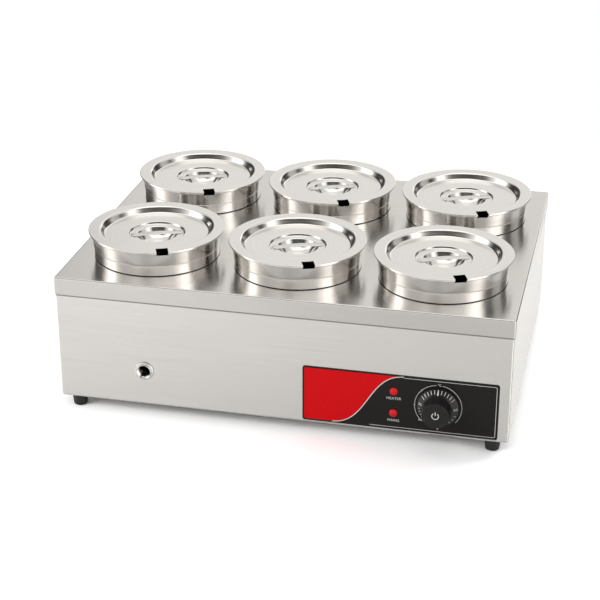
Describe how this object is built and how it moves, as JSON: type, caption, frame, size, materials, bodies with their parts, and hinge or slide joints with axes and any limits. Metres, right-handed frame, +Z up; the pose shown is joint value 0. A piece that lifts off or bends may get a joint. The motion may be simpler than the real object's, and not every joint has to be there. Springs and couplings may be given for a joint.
{
  "type": "wet bain-marie",
  "caption": "Countertop wet bain-marie: brushed steel case on rubber feet with a control panel and drain, and round lidded pots in a lift-off cover.",
  "frame": {"origin": "on the table, under the middle of the cover", "axes": "+X to the right along the front, +Y from the front to the back, +Z up"},
  "size_m": [0.735, 0.614, 0.275],
  "materials": {
    "case_steel": "brushed along the case",
    "cover_steel": "fine brushed along the front",
    "inner_steel": "mill finish",
    "pot_steel": "brushed around the pot",
    "lid_steel": "bright satin",
    "handle_steel": "polished edges",
    "drain_chrome": "bright plated",
    "zinc_steel": "zinc plated",
    "element_sheath": "heat-darkened sheath",
    "brass": "turned",
    "sensor_copper": "drawn copper",
    "foot_rubber": "moulded",
    "seal_rubber": "moulded",
    "panel_black": "printed overlay, black and red",
    "knob_black": "fine moulded texture",
    "lamp_lens_upper": "tinted clear",
    "lamp_lens_lower": "tinted clear",
    "inner_plastic": "moulded",
    "gland_black": "moulded",
    "block_white": "moulded",
    "wire_green": "insulated",
    "wire_blue": "insulated",
    "wire_brown": "insulated"
  },
  "bodies": {
    "chassis": {"front_sheet": "case_steel", "body_shell": "case_steel", "rear_panel": "case_steel", "rear_panel_screws": "zinc_steel", "base_plate": "inner_steel", "foot_front_left": "foot_rubber", "foot_front_right": "foot_rubber", "foot_rear_left": "foot_rubber", "foot_rear_right": "foot_rubber", "foot_bolts": "zinc_steel", "foot_nuts": "zinc_steel", "water_tank": "inner_steel", "tank_front_wall": "inner_steel", "tank_flange": "inner_steel", "false_bottom": "inner_steel", "heating_element": "element_sheath", "element_bushes": "brass", "element_nuts": "brass", "drain_outlet": "drain_chrome", "drain_rosette": "drain_chrome", "drain_seal": "seal_rubber", "drain_locknut": "brass", "control_panel": "panel_black", "upper_lamp_lens": "lamp_lens_upper", "lower_lamp_lens": "lamp_lens_lower", "upper_lamp_holder": "inner_plastic", "lower_lamp_holder": "inner_plastic", "thermostat_body": "inner_plastic", "thermostat_screws": "zinc_steel", "sensor_pocket": "inner_steel", "temperature_sensor": "sensor_copper", "cable_gland": "gland_black", "gland_nut": "gland_black", "terminal_block": "block_white", "earth_stud": "brass", "earth_wire": "wire_green", "neutral_wire": "wire_blue", "live_wire": "wire_brown", "element_wire": "wire_brown"},
    "knob": {"control_knob": "knob_black", "thermostat_shaft": "brass"},
    "cover": {"top_cover": "cover_steel"},
    "pot_body_1": {"pot_1": "pot_steel"},
    "lid_body_1": {"lid_1": "lid_steel", "lid_handle_1": "handle_steel"},
    "pot_body_2": {"pot_2": "pot_steel"},
    "lid_body_2": {"lid_2": "lid_steel", "lid_handle_2": "handle_steel"},
    "pot_body_3": {"pot_3": "pot_steel"},
    "lid_body_3": {"lid_3": "lid_steel", "lid_handle_3": "handle_steel"},
    "pot_body_4": {"pot_4": "pot_steel"},
    "lid_body_4": {"lid_4": "lid_steel", "lid_handle_4": "handle_steel"},
    "pot_body_5": {"pot_5": "pot_steel"},
    "lid_body_5": {"lid_5": "lid_steel", "lid_handle_5": "handle_steel"},
    "pot_body_6": {"pot_6": "pot_steel"},
    "lid_body_6": {"lid_6": "lid_steel", "lid_handle_6": "handle_steel"}
  },
  "joints": [
    {"name": "knob_turn", "type": "hinge", "parent": "chassis", "child": "knob", "pos_m": [0.2545, -0.2795, 0.071], "axis": [0, 1, 0], "range_deg": [0, 270]},
    {"name": "cover_lift", "type": "slide", "parent": "chassis", "child": "cover", "axis": [0, 0, 1], "range_m": [0, 0.25]},
    {"name": "pot_1_lift", "type": "slide", "parent": "cover", "child": "pot_body_1", "axis": [0, 0, 1], "range_m": [0, 0.18]},
    {"name": "lid_1_lift", "type": "slide", "parent": "pot_body_1", "child": "lid_body_1", "axis": [0, 0, 1], "range_m": [0, 0.06]},
    {"name": "pot_2_lift", "type": "slide", "parent": "cover", "child": "pot_body_2", "axis": [0, 0, 1], "range_m": [0, 0.18]},
    {"name": "lid_2_lift", "type": "slide", "parent": "pot_body_2", "child": "lid_body_2", "axis": [0, 0, 1], "range_m": [0, 0.06]},
    {"name": "pot_3_lift", "type": "slide", "parent": "cover", "child": "pot_body_3", "axis": [0, 0, 1], "range_m": [0, 0.18]},
    {"name": "lid_3_lift", "type": "slide", "parent": "pot_body_3", "child": "lid_body_3", "axis": [0, 0, 1], "range_m": [0, 0.06]},
    {"name": "pot_4_lift", "type": "slide", "parent": "cover", "child": "pot_body_4", "axis": [0, 0, 1], "range_m": [0, 0.18]},
    {"name": "lid_4_lift", "type": "slide", "parent": "pot_body_4", "child": "lid_body_4", "axis": [0, 0, 1], "range_m": [0, 0.06]},
    {"name": "pot_5_lift", "type": "slide", "parent": "cover", "child": "pot_body_5", "axis": [0, 0, 1], "range_m": [0, 0.18]},
    {"name": "lid_5_lift", "type": "slide", "parent": "pot_body_5", "child": "lid_body_5", "axis": [0, 0, 1], "range_m": [0, 0.06]},
    {"name": "pot_6_lift", "type": "slide", "parent": "cover", "child": "pot_body_6", "axis": [0, 0, 1], "range_m": [0, 0.18]},
    {"name": "lid_6_lift", "type": "slide", "parent": "pot_body_6", "child": "lid_body_6", "axis": [0, 0, 1], "range_m": [0, 0.06]}
  ]
}
